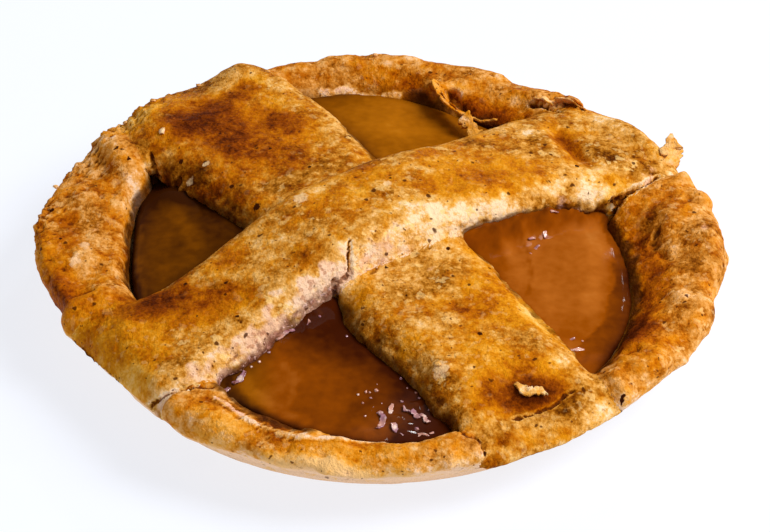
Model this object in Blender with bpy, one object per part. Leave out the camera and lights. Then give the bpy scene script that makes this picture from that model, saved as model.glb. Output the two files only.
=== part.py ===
"""Round linzer tart: a pressed pastry case, a jam filling and two crossed strips of pastry baked on top.

Metres, +Z up. The origin is the middle of the flat base, +Y is the far side and +X the right-hand side.
Sizes are written in millimetres and multiplied by MM where a point is made.
"""

import math

import bmesh
import bpy
from mathutils import Matrix, Vector, noise

MM = 0.001
CLEARANCE = 0.3  # between two pieces of pastry, or pastry and jam

# The case, seen from above: (degrees from +X, radius) of its outer edge, and of the foot of its inner side.
OUTER_EDGE = (
    (0, 45.6), (14, 44.8), (30, 44.6), (44, 44.5), (55, 43.0), (66, 43.0), (92, 44.6), (113, 44.2), (133, 45.0),
    (152, 44.9), (165, 45.5), (178, 46.0), (195, 43.8), (212, 42.6), (228, 43.0), (250, 44.7), (270, 45.1), (292, 44.3),
    (313, 43.7), (332, 45.8), (345, 44.9),
)
INNER_FOOT = (
    (0, 32.8), (20, 31.4), (62, 33.0), (77, 35.0), (90, 37.0), (104, 37.8), (125, 36.4), (155, 34.6), (175, 32.9),
    (195, 32.9), (232, 34.8), (248, 36.4), (262, 38.3), (280, 39.0), (300, 38.2), (324, 36.5), (340, 34.9),
)
# The rim's flat top starts this far from the foot on the inside, and it is this high.
INNER_SLOPE_WIDTH = ((0, 5.4), (60, 4.4), (90, 2.8), (135, 2.4), (180, 1.6), (225, 1.8), (270, 1.5), (300, 1.8), (325, 3.8))
CREST_HEIGHT = ((0, 12.6), (45, 12.9), (90, 12.9), (135, 12.8), (180, 12.4), (225, 11.6), (270, 10.9), (315, 11.6))
# The jam's edge, and with it the foot of the rim's inner side, is this high.
JAM_EDGE_HEIGHT = ((0, 9.0), (60, 9.6), (95, 10.3), (140, 9.6), (180, 9.2), (230, 9.0), (270, 9.2), (320, 8.9))
BASE_RADIUS = 35.6
WIDEST_HEIGHT = 8.9
FLOOR_THICKNESS = 4.2
FLOOR_INSET = 3.4  # from the foot of the rim's inner side
CASE_STEPS = 120
# Hand pressing leaves lumps (wavelength, depth) and the bake leaves crags on the rim.
LUMP = (6.0, 0.8)
CRAG = (2.5, 0.75)

# The strips lie along these lines. The under strip goes on first.
OVER_DIRECTION = 36.7
UNDER_DIRECTION = -55.8
END_SETBACK = 0.1  # from the rim's outer edge
STRIP_REACH = 45.0
STRIP_STEPS = 46
# (distance along the strip from the middle, value): the two side edges, the height of the underside, the thickness.
OVER_LEFT_EDGE = ((-44, 10.0), (-36, 8.0), (-28, 7.4), (-18, 8.6), (-6, 9.2), (4, 9.0), (14, 8.2), (26, 8.7), (36, 9.2),
                  (44, 8.4))
OVER_RIGHT_EDGE = ((-44, -10.4), (-34, -9.6), (-24, -8.1), (-10, -7.0), (0, -7.3), (12, -8.4), (22, -9.2), (32, -11.4),
                   (44, -12.4))
OVER_UNDERSIDE = ((-44.5, 7.9), (-40, 8.7), (-33, 9.3), (-25, 10.3), (-17, 12.2), (-9, 13.9), (0, 14.4), (9, 14.0),
                  (17, 12.7), (25, 11.3), (33, 10.0), (40, 9.2), (44.5, 8.4))
OVER_THICKNESS = ((-44.5, 0.7), (-43.2, 2.4), (-41.5, 3.3), (-38, 3.8), (-15, 4.3), (0, 4.4), (15, 4.3), (30, 4.6),
                  (37, 4.3), (41, 3.6), (43, 2.7), (44.5, 0.8))
UNDER_LEFT_EDGE = ((-44, 7.6), (-36, 9.2), (-26, 9.9), (-14, 9.1), (0, 8.6), (12, 8.3), (24, 7.1), (36, 7.0), (44, 7.6))
UNDER_RIGHT_EDGE = ((-44, -13.6), (-36, -16.2), (-30, -15.6), (-22, -13.0), (-14, -11.6), (0, -11.0), (8, -11.6),
                    (16, -12.2), (26, -11.4), (36, -12.3), (44, -12.4))
UNDER_UNDERSIDE = ((-45, 9.3), (-40, 10.6), (-30, 10.5), (-15, 9.9), (0, 9.6), (15, 9.4), (28, 9.0), (36, 8.4), (41, 7.8),
                   (45, 7.2))
UNDER_THICKNESS = ((-45, 1.6), (-43.8, 3.6), (-41, 4.6), (-36, 4.8), (-22, 4.5), (-13, 4.8), (0, 4.5), (13, 4.8),
                   (24, 4.4), (36, 3.9), (41, 3.2), (43.4, 2.2), (45, 0.8))
SIDE_SPREAD = 0.5  # a strip's side leans out this much at its foot
CROWN = 0.08  # and its middle is this share of its thickness higher
STRIP_LUMP = (10.0, 0.45)
STRIP_CRAG = (2.8, 0.3)

# Finger marks and creases in the strips' tops: (x, y) of the middle, direction, half length, half width, depth.
PIT_UNDER_NEAR = ((18.8, -34.6), 28.0, 6.8, 3.0, 1.5)
DENT_OVER_RIGHT = ((26.4, 16.0), -62.0, 3.8, 1.5, 1.2)
CREASE_UNDER_FAR = ((-24.4, 27.2), 42.0, 8.5, 2.2, 0.8)

# The jam's edge stands a little in from the pastry, and its top is domed.
JAM_DOME = 1.9
JAM_STEPS = 72
JAM_SWELL = (13.0, 0.45)

# Loose-edged flakes: (x, y, z) of the points along each, with its half width and thickness.
SLIVER = ((7.6, 39.4, 11.6), (8.2, 35.6, 12.6), (8.8, 31.8, 12.9), (10.6, 28.8, 12.6), (13.2, 26.9, 12.6), (16.2, 26.2, 13.0))
SLIVER_HALF_WIDTH = 1.05
TAB = ((38.6, 17.2, 9.6), (39.6, 17.6, 11.2), (40.2, 17.8, 12.9), (40.3, 17.9, 14.8))
TAB_HALF_WIDTH = 1.5
FLAKE_THICKNESS = 0.8


def clear_scene():
    for obj in list(bpy.data.objects):
        bpy.data.objects.remove(obj)


def material(name, colour, roughness):
    made = bpy.data.materials.new(name)
    made.use_nodes = True
    shader = made.node_tree.nodes["Principled BSDF"]
    shader.inputs["Base Color"].default_value = (*colour, 1)
    shader.inputs["Roughness"].default_value = roughness
    shader.inputs["Metallic"].default_value = 0
    return made


def smooth_line(pairs, place):
    """The value at a place on the smooth curve through (place, value) pairs, level beyond its two ends."""
    places = [p for p, _ in pairs]
    values = [v for _, v in pairs]
    if place <= places[0]:
        return values[0]
    if place >= places[-1]:
        return values[-1]
    k = max(i for i, p in enumerate(places) if p <= place)

    def slope(i):
        low, high = max(i - 1, 0), min(i + 1, len(pairs) - 1)
        return (values[high] - values[low]) / (places[high] - places[low])

    span = places[k + 1] - places[k]
    t = (place - places[k]) / span
    return (
        values[k] * (1 + 2 * t) * (1 - t) ** 2
        + slope(k) * span * t * (1 - t) ** 2
        + values[k + 1] * t * t * (3 - 2 * t)
        + slope(k + 1) * span * t * t * (t - 1)
    )


def smooth_ring(pairs, angle):
    """The same for (degrees, value) pairs that go once round, at an angle in radians."""
    degrees = math.degrees(angle) % 360
    wrapped = [(a - 360, v) for a, v in pairs[-2:]] + list(pairs) + [(a + 360, v) for a, v in pairs[:2]]
    return smooth_line(wrapped, degrees)


def ease(low, high, value):
    """0 below low, 1 above high and a smooth step between them."""
    t = min(1, max(0, (value - low) / (high - low)))
    return t * t * (3 - 2 * t)


def swell(point, form):
    """A smooth, lumpy noise of the given (wavelength, depth) at a point in millimetres."""
    wavelength, depth = form
    return depth * noise.noise(Vector(point) / wavelength)


def hollow(x, y, mark):
    """How deep a finger mark is at (x, y): its full depth in the middle, nothing outside its oval."""
    (middle_x, middle_y), direction, half_length, half_width, depth = mark
    turn = math.radians(direction)
    across_x, across_y = x - middle_x, y - middle_y
    u = (across_x * math.cos(turn) + across_y * math.sin(turn)) / half_length
    v = (across_y * math.cos(turn) - across_x * math.sin(turn)) / half_width
    return depth * math.exp(-1.4 * (u * u + v * v) ** 1.5)


def finish(name, mesh):
    """The finished object of a bmesh, as triangles with their faces outwards, smooth but for its sharp edges."""
    bmesh.ops.triangulate(mesh, faces=mesh.faces, quad_method="BEAUTY", ngon_method="BEAUTY")
    bmesh.ops.recalc_face_normals(mesh, faces=mesh.faces)
    if mesh.calc_volume(signed=True) < 0:
        bmesh.ops.reverse_faces(mesh, faces=mesh.faces)
    data = bpy.data.meshes.new(name)
    mesh.to_mesh(data)
    mesh.free()
    data.shade_smooth()
    data.set_sharp_from_angle(angle=math.radians(50))
    made = bpy.data.objects.new(name, data)
    bpy.context.scene.collection.objects.link(made)
    return made


def extruded(name, sections):
    """A closed solid: the first section as a face, extruded on to each of the others. Points are in millimetres."""
    mesh = bmesh.new()
    corner = mesh.verts.layers.int.new("corner")
    for i, point in enumerate(sections[0]):
        mesh.verts.new(Vector(point) * MM)[corner] = i
    end = mesh.faces.new(mesh.verts)
    for section in sections[1:]:
        (end,) = bmesh.ops.extrude_discrete_faces(mesh, faces=[end])["faces"]
        for vertex in end.verts:
            vertex.co = Vector(section[vertex[corner]]) * MM
    bmesh.ops.holes_fill(mesh, edges=mesh.edges, sides=0)
    return finish(name, mesh)


def turned(name, section, steps):
    """A closed solid: section(0) spun once round, then each point moved to its place in section(angle)."""
    mesh = bmesh.new()
    spot = mesh.verts.layers.int.new("spot")
    profile = [mesh.verts.new(Vector(point) * MM) for point in section(0)]
    for i, vertex in enumerate(profile):
        vertex[spot] = i
    edges = [mesh.edges.new(pair) for pair in zip(profile, profile[1:])]
    bmesh.ops.spin(
        mesh, geom=profile + edges, cent=(0, 0, 0), axis=(0, 0, 1), angle=2 * math.pi, steps=steps, use_merge=True
    )
    bmesh.ops.holes_fill(mesh, edges=mesh.edges, sides=0)
    sections = {}
    for vertex in mesh.verts:
        step = round(math.atan2(vertex.co.y, vertex.co.x) / (2 * math.pi / steps)) % steps
        if step not in sections:
            sections[step] = section(2 * math.pi * step / steps)
        vertex.co = Vector(sections[step][vertex[spot]]) * MM
    return finish(name, mesh)


# --- the pastry case ---------------------------------------------------------------------------------------------


def case_section(angle):
    """(radius, height, roughness of the bake) up the outside, over the rim and down to the floor, at an angle."""
    outer = smooth_ring(OUTER_EDGE, angle)
    foot = smooth_ring(INNER_FOOT, angle)
    slope = smooth_ring(INNER_SLOPE_WIDTH, angle)
    crest = smooth_ring(CREST_HEIGHT, angle)
    base = BASE_RADIUS
    wall = outer - base
    shoulder = foot + slope
    top = outer - 1.6 - shoulder
    foot_height = smooth_ring(JAM_EDGE_HEIGHT, angle) - 0.4
    drop = crest - foot_height
    outside = [
        (base, 0, 0), (base + 1.1, 0.5, 0), (base + 0.33 * wall, 2.5, 0.1), (base + 0.57 * wall, 4.7, 0.2),
        (base + 0.79 * wall, 6.8, 0.4), (outer - 0.5, WIDEST_HEIGHT - 0.8, 0.6),
    ]
    rim = [
        (outer, WIDEST_HEIGHT, 1), (outer - 0.1, crest - 1.5, 1), (outer - 0.6, crest - 0.7, 1),
        (outer - 1.5, crest - 0.1, 1), (shoulder + 0.75 * top, crest + 0.1, 1), (shoulder + 0.5 * top, crest + 0.15, 1),
        (shoulder + 0.25 * top, crest, 1), (shoulder, crest - 0.35, 1),
    ]
    inside = [
        (foot + 0.74 * slope, crest - 0.25 * drop, 0.9), (foot + 0.46 * slope, crest - 0.5 * drop, 0.8),
        (foot + 0.2 * slope, crest - 0.76 * drop, 0.6), (foot, foot_height, 0.3), (foot - 0.7, 6.6, 0),
        (foot - 2.1, FLOOR_THICKNESS + 0.6, 0), (foot - FLOOR_INSET, FLOOR_THICKNESS, 0),
    ]
    return outside + rim + inside


def case_point(angle, radius, height, rough):
    """A point of the case, pushed along its radius and up by the lumps and crags of the bake."""
    point = (radius * math.cos(angle), radius * math.sin(angle), height)
    out = rough * (swell(point, LUMP) + swell(point, CRAG))
    raised = (point[0] + 60, point[1] - 35, point[2])
    up = rough * (swell(raised, LUMP) + swell(raised, CRAG))
    stretched = (radius + out) / radius
    return point[0] * stretched, point[1] * stretched, height + up


def pastry_case():
    return turned("pastry_case", lambda angle: [case_point(angle, *spot) for spot in case_section(angle)], CASE_STEPS)


# --- the strips --------------------------------------------------------------------------------------------------


def strip_section(left, right, grow):
    """(across, share of the thickness) once round a strip, from the left end of its underside. It leans out at
    the foot."""
    left, right = left + grow, right - grow
    middle, half = (left + right) / 2, (left - right) / 2
    side = ((0, 0.16), (0, 0.5), (0.5, 0.76), (1.4, 0.93))
    under = [(middle + half * share, 0) for share in (0.94, 0.5, 0, -0.5, -0.94)]
    right_side = [(right - SIDE_SPREAD + inset + SIDE_SPREAD * up, up) for inset, up in side]
    crown = [(middle + half * share, 1 + CROWN * (1 - share * share)) for share in (-0.72, -0.42, -0.14, 0.14, 0.42, 0.72)]
    left_side = [(left + SIDE_SPREAD - inset - SIDE_SPREAD * up, up) for inset, up in reversed(side)]
    return under + right_side + crown + left_side


def strip_loops(form, grow=0.0, open_top=None, lengthen=0.0):
    """The cross-sections of a strip from rim to rim. Grown by a clearance, and with its top raised to open_top,
    it is the space that the strip needs in the pieces that it is pressed into."""
    direction, left_edge, right_edge, underside, thickness, marks = form
    turn = math.radians(direction)
    along = Vector((math.cos(turn), math.sin(turn)))
    across = Vector((-math.sin(turn), math.cos(turn)))
    loops = []
    for step in range(STRIP_STEPS + 1):
        share = 2 * step / STRIP_STEPS - 1
        share = share * (1 + 0.25 * (1 - share * share))  # steps are closer together at the ends
        nominal = share * (STRIP_REACH + lengthen)
        loop = []
        for aside, up in strip_section(smooth_line(left_edge, nominal), smooth_line(right_edge, nominal), grow):
            flat = across * aside
            half_chord = math.sqrt(STRIP_REACH * STRIP_REACH - aside * aside)
            end_angle = math.atan2(*(along * math.copysign(half_chord, share) + flat).yx)
            end = smooth_ring(OUTER_EDGE, end_angle) - END_SETBACK + lengthen
            place = share * math.sqrt(end * end - aside * aside)
            x, y = along * place + flat
            # near the rim the strip's height follows the rim round, and in the middle it goes straight across
            bend = ease(25, 38, abs(place))
            reach = math.copysign(math.sqrt(place * place + bend * aside * aside), place)
            reach *= 1 + bend * (STRIP_REACH - end + lengthen) / STRIP_REACH
            low = smooth_line(underside, reach)
            thick = smooth_line(thickness, reach)
            if up > 0.6 and open_top is not None:
                z = open_top
            else:
                z = low + up * thick - grow * (1 - up)
                if up > 0.6:
                    z += (swell((x, y, direction), STRIP_LUMP) + swell((x, y, 9.0), STRIP_CRAG)) * min(1, thick / 3)
                    z -= sum(hollow(x, y, mark) for mark in marks)
            loop.append((x, y, z))
        loops.append(loop)
    return loops


OVER = (OVER_DIRECTION, OVER_LEFT_EDGE, OVER_RIGHT_EDGE, OVER_UNDERSIDE, OVER_THICKNESS, [DENT_OVER_RIGHT])
UNDER = (
    UNDER_DIRECTION, UNDER_LEFT_EDGE, UNDER_RIGHT_EDGE, UNDER_UNDERSIDE, UNDER_THICKNESS,
    [PIT_UNDER_NEAR, CREASE_UNDER_FAR],
)


def pressing(name, form):
    """A cutter: all the space above a strip's underside, out past the rim, with the clearance round it."""
    made = extruded(name, strip_loops(form, grow=CLEARANCE, open_top=30.0, lengthen=4.0))
    made.hide_render = True
    made.display_type = "WIRE"
    return made


def cut(piece, *cutters):
    for cutter in cutters:
        boolean = piece.modifiers.new(cutter.name, "BOOLEAN")
        boolean.operation = "DIFFERENCE"
        boolean.solver = "EXACT"
        boolean.object = cutter


# --- flakes ------------------------------------------------------------------------------------------------------


def flake(name, points, half_width, upright):
    """A thin ragged sliver along its points, narrow at its free end. It lies flat, or stands with its width level."""
    path = [Vector(point) for point in points]
    loops = []
    for i, middle in enumerate(path):
        ahead = (path[min(i + 1, len(path) - 1)] - path[max(i - 1, 0)]).normalized()
        side = Vector((-ahead.y, ahead.x, 0)).normalized()
        face = ahead.cross(side) if upright else Vector((0, 0, 1))
        width = half_width * (1 - 0.55 * (i / (len(path) - 1)) ** 2) * (1 + 0.25 * noise.noise(middle))
        thick = FLAKE_THICKNESS / 2
        loops.append([
            middle + side * width * u + face * thick * v
            for u, v in ((1, 0), (0.5, 1), (-0.5, 1), (-1, 0), (-0.5, -1), (0.5, -1))
        ])
    return extruded(name, loops)


def fuse(piece, helper):
    boolean = piece.modifiers.new(helper.name, "BOOLEAN")
    boolean.operation = "UNION"
    boolean.solver = "EXACT"
    boolean.object = helper
    helper.hide_render = True
    helper.display_type = "WIRE"


# --- the jam -----------------------------------------------------------------------------------------------------


def jam_section(angle):
    """(radius, height, share of the swell) from the flat underside up the side and over the dome."""
    foot = smooth_ring(INNER_FOOT, angle)
    level = smooth_ring(JAM_EDGE_HEIGHT, angle)
    edge = foot - CLEARANCE - 0.15
    inside = [
        (foot - FLOOR_INSET - 0.3, FLOOR_THICKNESS + CLEARANCE, 0),
        (foot - 2.1 - 0.35, FLOOR_THICKNESS + 0.6 + CLEARANCE, 0),
        (foot - 0.7 - 0.45, 6.7, 0), (edge - 0.1, level - 0.7, 0),
    ]
    domed = []
    for share in (0.995, 0.975, 0.935, 0.87, 0.77, 0.64, 0.48, 0.3, 0.1):
        lift = math.sqrt(1 - share ** 4)
        domed.append((edge * share, level - 0.45 * (1 - lift) + JAM_DOME * (1 - share ** 3) * lift, lift))
    return inside + domed


def jam_point(angle, radius, height, share):
    x, y = radius * math.cos(angle), radius * math.sin(angle)
    return x, y, height + share * swell((x, y, 4.0), JAM_SWELL)


def jam_filling():
    return turned("jam_filling", lambda angle: [jam_point(angle, *spot) for spot in jam_section(angle)], JAM_STEPS)


def centre_on_origin(case):
    """Moves every mesh sideways so that the middle of the case's bounding box is on the origin."""
    spots = [vertex.co for vertex in case.data.vertices]
    middle = [(min(spot[axis] for spot in spots) + max(spot[axis] for spot in spots)) / 2 for axis in (0, 1)]
    for mesh in bpy.data.meshes:
        mesh.transform(Matrix.Translation((-middle[0], -middle[1], 0)))


def main():
    clear_scene()
    case = pastry_case()
    jam = jam_filling()
    under = extruded("lattice_strip_under", strip_loops(UNDER))
    over = extruded("lattice_strip_over", strip_loops(OVER))
    under_space = pressing("under_strip_space", UNDER)
    over_space = pressing("over_strip_space", OVER)
    sliver = flake("rim_sliver", SLIVER, SLIVER_HALF_WIDTH, upright=False)
    tab = flake("end_tab", TAB, TAB_HALF_WIDTH, upright=True)
    centre_on_origin(case)
    fuse(case, sliver)
    cut(case, under_space, over_space)
    cut(jam, under_space, over_space)
    cut(under, over_space)
    fuse(over, tab)
    crust = material("baked_crust", (0.62, 0.30, 0.075), 0.75)
    strip_crust = material("baked_strip", (0.66, 0.34, 0.09), 0.68)
    filling = material("apricot_jam", (0.34, 0.10, 0.008), 0.15)
    for piece, look in ((case, crust), (under, strip_crust), (over, strip_crust), (jam, filling)):
        piece.data.materials.append(look)


main()
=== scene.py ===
import math

import bmesh
import bpy
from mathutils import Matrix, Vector, noise
from mathutils.bvhtree import BVHTree


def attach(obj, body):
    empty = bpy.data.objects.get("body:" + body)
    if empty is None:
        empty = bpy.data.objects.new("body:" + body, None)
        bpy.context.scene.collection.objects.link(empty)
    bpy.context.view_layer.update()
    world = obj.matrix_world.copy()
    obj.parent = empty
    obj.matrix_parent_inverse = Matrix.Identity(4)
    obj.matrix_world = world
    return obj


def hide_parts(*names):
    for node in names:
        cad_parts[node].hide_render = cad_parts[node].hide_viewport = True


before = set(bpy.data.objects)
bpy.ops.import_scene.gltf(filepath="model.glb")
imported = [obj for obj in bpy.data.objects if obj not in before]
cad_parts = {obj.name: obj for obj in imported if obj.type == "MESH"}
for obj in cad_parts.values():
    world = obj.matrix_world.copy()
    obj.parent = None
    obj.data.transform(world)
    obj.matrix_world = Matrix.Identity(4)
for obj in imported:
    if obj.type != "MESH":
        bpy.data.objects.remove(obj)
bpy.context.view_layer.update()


# ---- The pastry case ---------------------------------------------------------------------------------------
# Short nut dough, pressed into a round mould by hand. The mould leaves the wall smooth and pale, and above it
# the thick rim bakes to golden lumps with flaky ledges, small pits and dark specks of bran.

MM = 0.001
CASE, UNDER, OVER, FILLING = "pastry_case", "lattice_strip_under", "lattice_strip_over", "jam_filling"
PASTRY = (CASE, UNDER, OVER)
# the top strip's front edge: (millimetres along the strip, millimetres across it)
FRONT_EDGE = (
    (-44, -10.4), (-34, -9.6), (-24, -8.1), (-10, -7.0), (0, -7.3), (12, -8.4), (22, -9.2), (32, -11.4),
    (44, -12.4),
)


def level(line, along):
    """The height of a line through points at a place along it."""
    k = min(sum(place < along for place, _ in line[1:-1]), len(line) - 2)
    (start, low), (end, high) = line[k], line[k + 1]
    return low + (high - low) * (along - start) / (end - start)


def along_top(p):
    """How far along the top strip a point lies, in millimetres from the tart's middle."""
    return 0.802 * p.x + 0.598 * p.y


def behind_edge(p):
    """How far a point lies behind the top strip's front edge, in millimetres."""
    return 0.802 * p.y - 0.598 * p.x - level(FRONT_EDGE, along_top(p))


# how far the lower edge of the top strip's cut side sags: (millimetres along the strip, millimetres down)
SAGGING = (
    (-38, 0.0), (-33, 0.2), (-28.7, 0.4), (-16.6, 0.8), (-9, 1.4), (0, 0.5), (9, 0.0), (13.4, -0.5),
    (20, -0.8), (25, -0.1), (29, 0.8), (33, 0.8), (38, 0.0),
)
# that edge is found within so much of the front edge, and so much above the lowest place, in millimetres
EDGE_REACH, EDGE_HEIGHT = 1.3, 0.9


def sag(body):
    """Moves the lower edge of the top strip's cut side down."""
    edge = {}
    for vertex in body.verts:
        p = vertex.co / MM
        along = along_top(p)
        if abs(behind_edge(p)) < EDGE_REACH and abs(along) < SAGGING[-1][0]:
            edge.setdefault(round(along), []).append((p.z, along, vertex))
    for points in edge.values():
        underside = min(z for z, _, _ in points)
        for z, along, vertex in points:
            if z < underside + EDGE_HEIGHT:
                vertex.co.z -= level(SAGGING, along) * MM


def joined_copy(nodes, swelling=0.0):
    """A copy of CAD nodes with their triangles merged, swollen by some millimetres."""
    body = bmesh.new()
    for node in nodes:
        body.from_mesh(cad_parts[node].data)
        if node == OVER:
            sag(body)
    bmesh.ops.remove_doubles(body, verts=body.verts, dist=1e-6)
    body.normal_update()
    for vertex in body.verts:
        vertex.co += vertex.normal * swelling * MM
    return body


def new_piece(name, body):
    """The object of a bmesh."""
    mesh = bpy.data.meshes.new(name)
    body.to_mesh(mesh)
    body.free()
    piece = bpy.data.objects.new(name, mesh)
    bpy.context.scene.collection.objects.link(piece)
    return piece


def spot(x, y, mark):
    """How strongly an oval mark (x, y, direction in degrees, half length, half width, ...) shows at x, y."""
    turn = math.radians(mark[2])
    along = ((x - mark[0]) * math.cos(turn) + (y - mark[1]) * math.sin(turn)) / mark[3]
    aside = ((y - mark[1]) * math.cos(turn) - (x - mark[0]) * math.sin(turn)) / mark[4]
    return math.exp(-((along * along + aside * aside) ** 1.3))


def ease(low, high, value):
    """0 at low, 1 at high and a smooth step between them, either way round."""
    t = min(1, max(0, (value - low) / (high - low)))
    return t * t * (3 - 2 * t)


# where the baked dough lies higher or lower than its solid, in millimetres:
# (x, y, direction in degrees, half length, half width, how much higher)
RISEN = (
    (37.6, 21.6, -53, 7.0, 3.0, 2.2), (33.4, 25.4, -53, 3.0, 3.4, 0.5), (-27.0, 31.0, 45, 8.0, 3.2, -0.9),
    (-34.6, 17.4, -55, 4.0, 2.6, 1.2), (-36.5, -24.0, 127, 9.0, 3.6, -0.6),
    (-31.5, -29.0, 137, 6.0, 3.0, 1.2), (-25.7, 33.0, 45, 4.0, 2.6, -0.6), (-20.5, 37.0, 20, 3.0, 2.6, 0.6),
    (25.5, 18.5, -62, 4.5, 1.3, -0.7), (22.8, 17.5, -62, 5.0, 1.5, 0.35),
)
# only what is above the mould rises: not at all at the first height, and fully from the second
MOULD_EDGE = (7.5, 10.5)
# how far round a point of a thin flake the flake is taken off, in millimetres
FLAKE_REACH = 1.5


def evened(name, body, cell, settling, without=()):
    """The same solid in even little quads of cell millimetres, its facets settled away in so many rounds. Its
    thin flakes come off, from each point of without outwards, because they are pieces of their own."""
    piece = new_piece(name, body)
    even = piece.modifiers.new("even", "REMESH")
    even.mode = "VOXEL"
    even.voxel_size = cell * MM
    body = bmesh.new()
    body.from_mesh(piece.evaluated_get(bpy.context.evaluated_depsgraph_get()).to_mesh())
    piece.modifiers.clear()
    flakes = [Vector(place) * MM for place in without]
    thin = [v for v in body.verts if any((v.co - place).length < FLAKE_REACH * MM for place in flakes)]
    bmesh.ops.delete(body, geom=thin, context="VERTS")
    bmesh.ops.holes_fill(body, edges=body.edges, sides=0)
    for _ in range(settling):
        bmesh.ops.smooth_vert(
            body, verts=body.verts, factor=0.5, use_axis_x=True, use_axis_y=True, use_axis_z=True
        )
    for vertex in body.verts:
        rise = sum(mark[5] * spot(vertex.co.x / MM, vertex.co.y / MM, mark) for mark in RISEN)
        vertex.co.z += rise * ease(*MOULD_EDGE, vertex.co.z / MM) * MM
    body.normal_update()
    return piece, body


# where fingers pressed the pieces flat into one another: (x, y, direction, half length, half width)
PRESSED = ((-31.5, 18.0, -55, 8.0, 5.5), (-35.5, -16.0, -130, 6.0, 4.5))


def pressed(place):
    """1 where fingers pressed the dough flat, and 0 away from there."""
    return max(spot(place.x / MM, place.y / MM, mark) for mark in PRESSED)


def hollow_of(vertex):
    """How far a point lies below the points around it, in millimetres."""
    edges = vertex.link_edges
    around = sum((edge.other_vert(vertex).co for edge in edges), Vector()) / len(edges)
    return (around - vertex.co).dot(vertex.normal) / MM


solids = {node: BVHTree.FromBMesh(joined_copy([node])) for node in (*PASTRY, FILLING)}


def gap_to(nodes, place):
    """The distance in millimetres from a place in metres to the nearest of those CAD nodes."""
    return min(solids[node].find_nearest(place)[3] for node in nodes) / MM


# the points along the rim's torn flake, and those of the flake that stands at the top strip's right end
TORN_FLAKE = (
    (8.0, 36.6, 12.7), (8.1, 35.2, 12.9), (8.5, 33.4, 12.9), (9.1, 31.4, 12.9), (10.5, 29.3, 12.7),
    (12.2, 27.9, 12.6), (14.1, 27.0, 12.7), (16.2, 26.5, 13.0),
)
END_FLAKE = ((39.2, 17.6, 10.6), (39.7, 17.9, 12.0), (40.0, 18.1, 13.4), (40.2, 18.2, 15.2))
# how far from a second piece the dough has run together, and how much further where it was pressed
SEAM, PRESSED_SEAM = 4.0, 2.0
# how far from a second piece fingers have flattened it
FLATTENED = 7.5
# the rounds in which the seams fill up and the pressed places flatten
FILLING_ROUNDS, FLATTENING_ROUNDS = 45, 60


def baked_skin():
    """All the pastry as one skin. Where two pieces lie against each other the dough has run together."""
    outline = joined_copy(PASTRY, swelling=0.2)
    piece, body = evened("skin", outline, cell=0.5, settling=4, without=TORN_FLAKE[2:] + END_FLAKE[1:])
    bpy.data.objects.remove(piece)
    seams, flats = [], []
    for vertex in body.verts:
        near = sorted(solids[node].find_nearest(vertex.co)[3] for node in PASTRY)
        flat = pressed(vertex.co) if vertex.normal.z > -0.2 else 0
        if near[1] < (SEAM + PRESSED_SEAM * flat) * MM:
            seams.append(vertex)
        if near[1] < FLATTENED * MM and flat > 0.05:
            flats.append((vertex, flat))
    for _ in range(FILLING_ROUNDS):
        fills = []
        for vertex in seams:
            fill = hollow_of(vertex)
            if fill > 0:
                fills.append((vertex, vertex.normal * fill * 0.6 * MM))
        for vertex, fill in fills:
            vertex.co += fill
        body.normal_update()
    for _ in range(FLATTENING_ROUNDS):
        for vertex, flat in flats:
            vertex.co += vertex.normal * hollow_of(vertex) * 0.5 * flat * MM
        body.normal_update()
    tree = BVHTree.FromBMesh(body)
    body.free()
    return tree


skin = baked_skin()

# the relief of baked crumb, each with its size and height in millimetres
LUMPS, LEDGES, CRUMBS, PITS = (4.6, 0.30), (3.1, 0.13), (1.5, 0.28), (1.5, 1.1)


def crumbly(p):
    """The height of baked crumb at a point: soft lumps, flaky ledges, crumbs and small pits."""
    lumps = LUMPS[1] * noise.noise(p / LUMPS[0])
    layers = 2.4 * noise.noise(p / LEDGES[0] + Vector((11, 0, 4)))
    layers += 0.6 * noise.noise(p / 1.2 + Vector((0, 3, 9)))
    ledges = LEDGES[1] * (math.floor(layers) + ease(0.0, 0.4, layers - math.floor(layers)))
    crumbs = CRUMBS[1] * (0.5 - noise.voronoi(p / CRUMBS[0])[0][0])
    pits = -PITS[1] * max(0, noise.noise(p / PITS[0] + Vector((0, 7, 2))) - 0.33)
    return lumps + ledges + crumbs + pits


def beside(x, y, line):
    """How far a point is from a line through points, in millimetres."""
    here = Vector((x, y))
    nearest = math.inf
    for start, end in zip(line, line[1:]):
        start, run = Vector(start), Vector(end) - Vector(start)
        share = min(1, max(0, (here - start).dot(run) / run.length_squared))
        nearest = min(nearest, (here - start - run * share).length)
    return nearest


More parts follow.
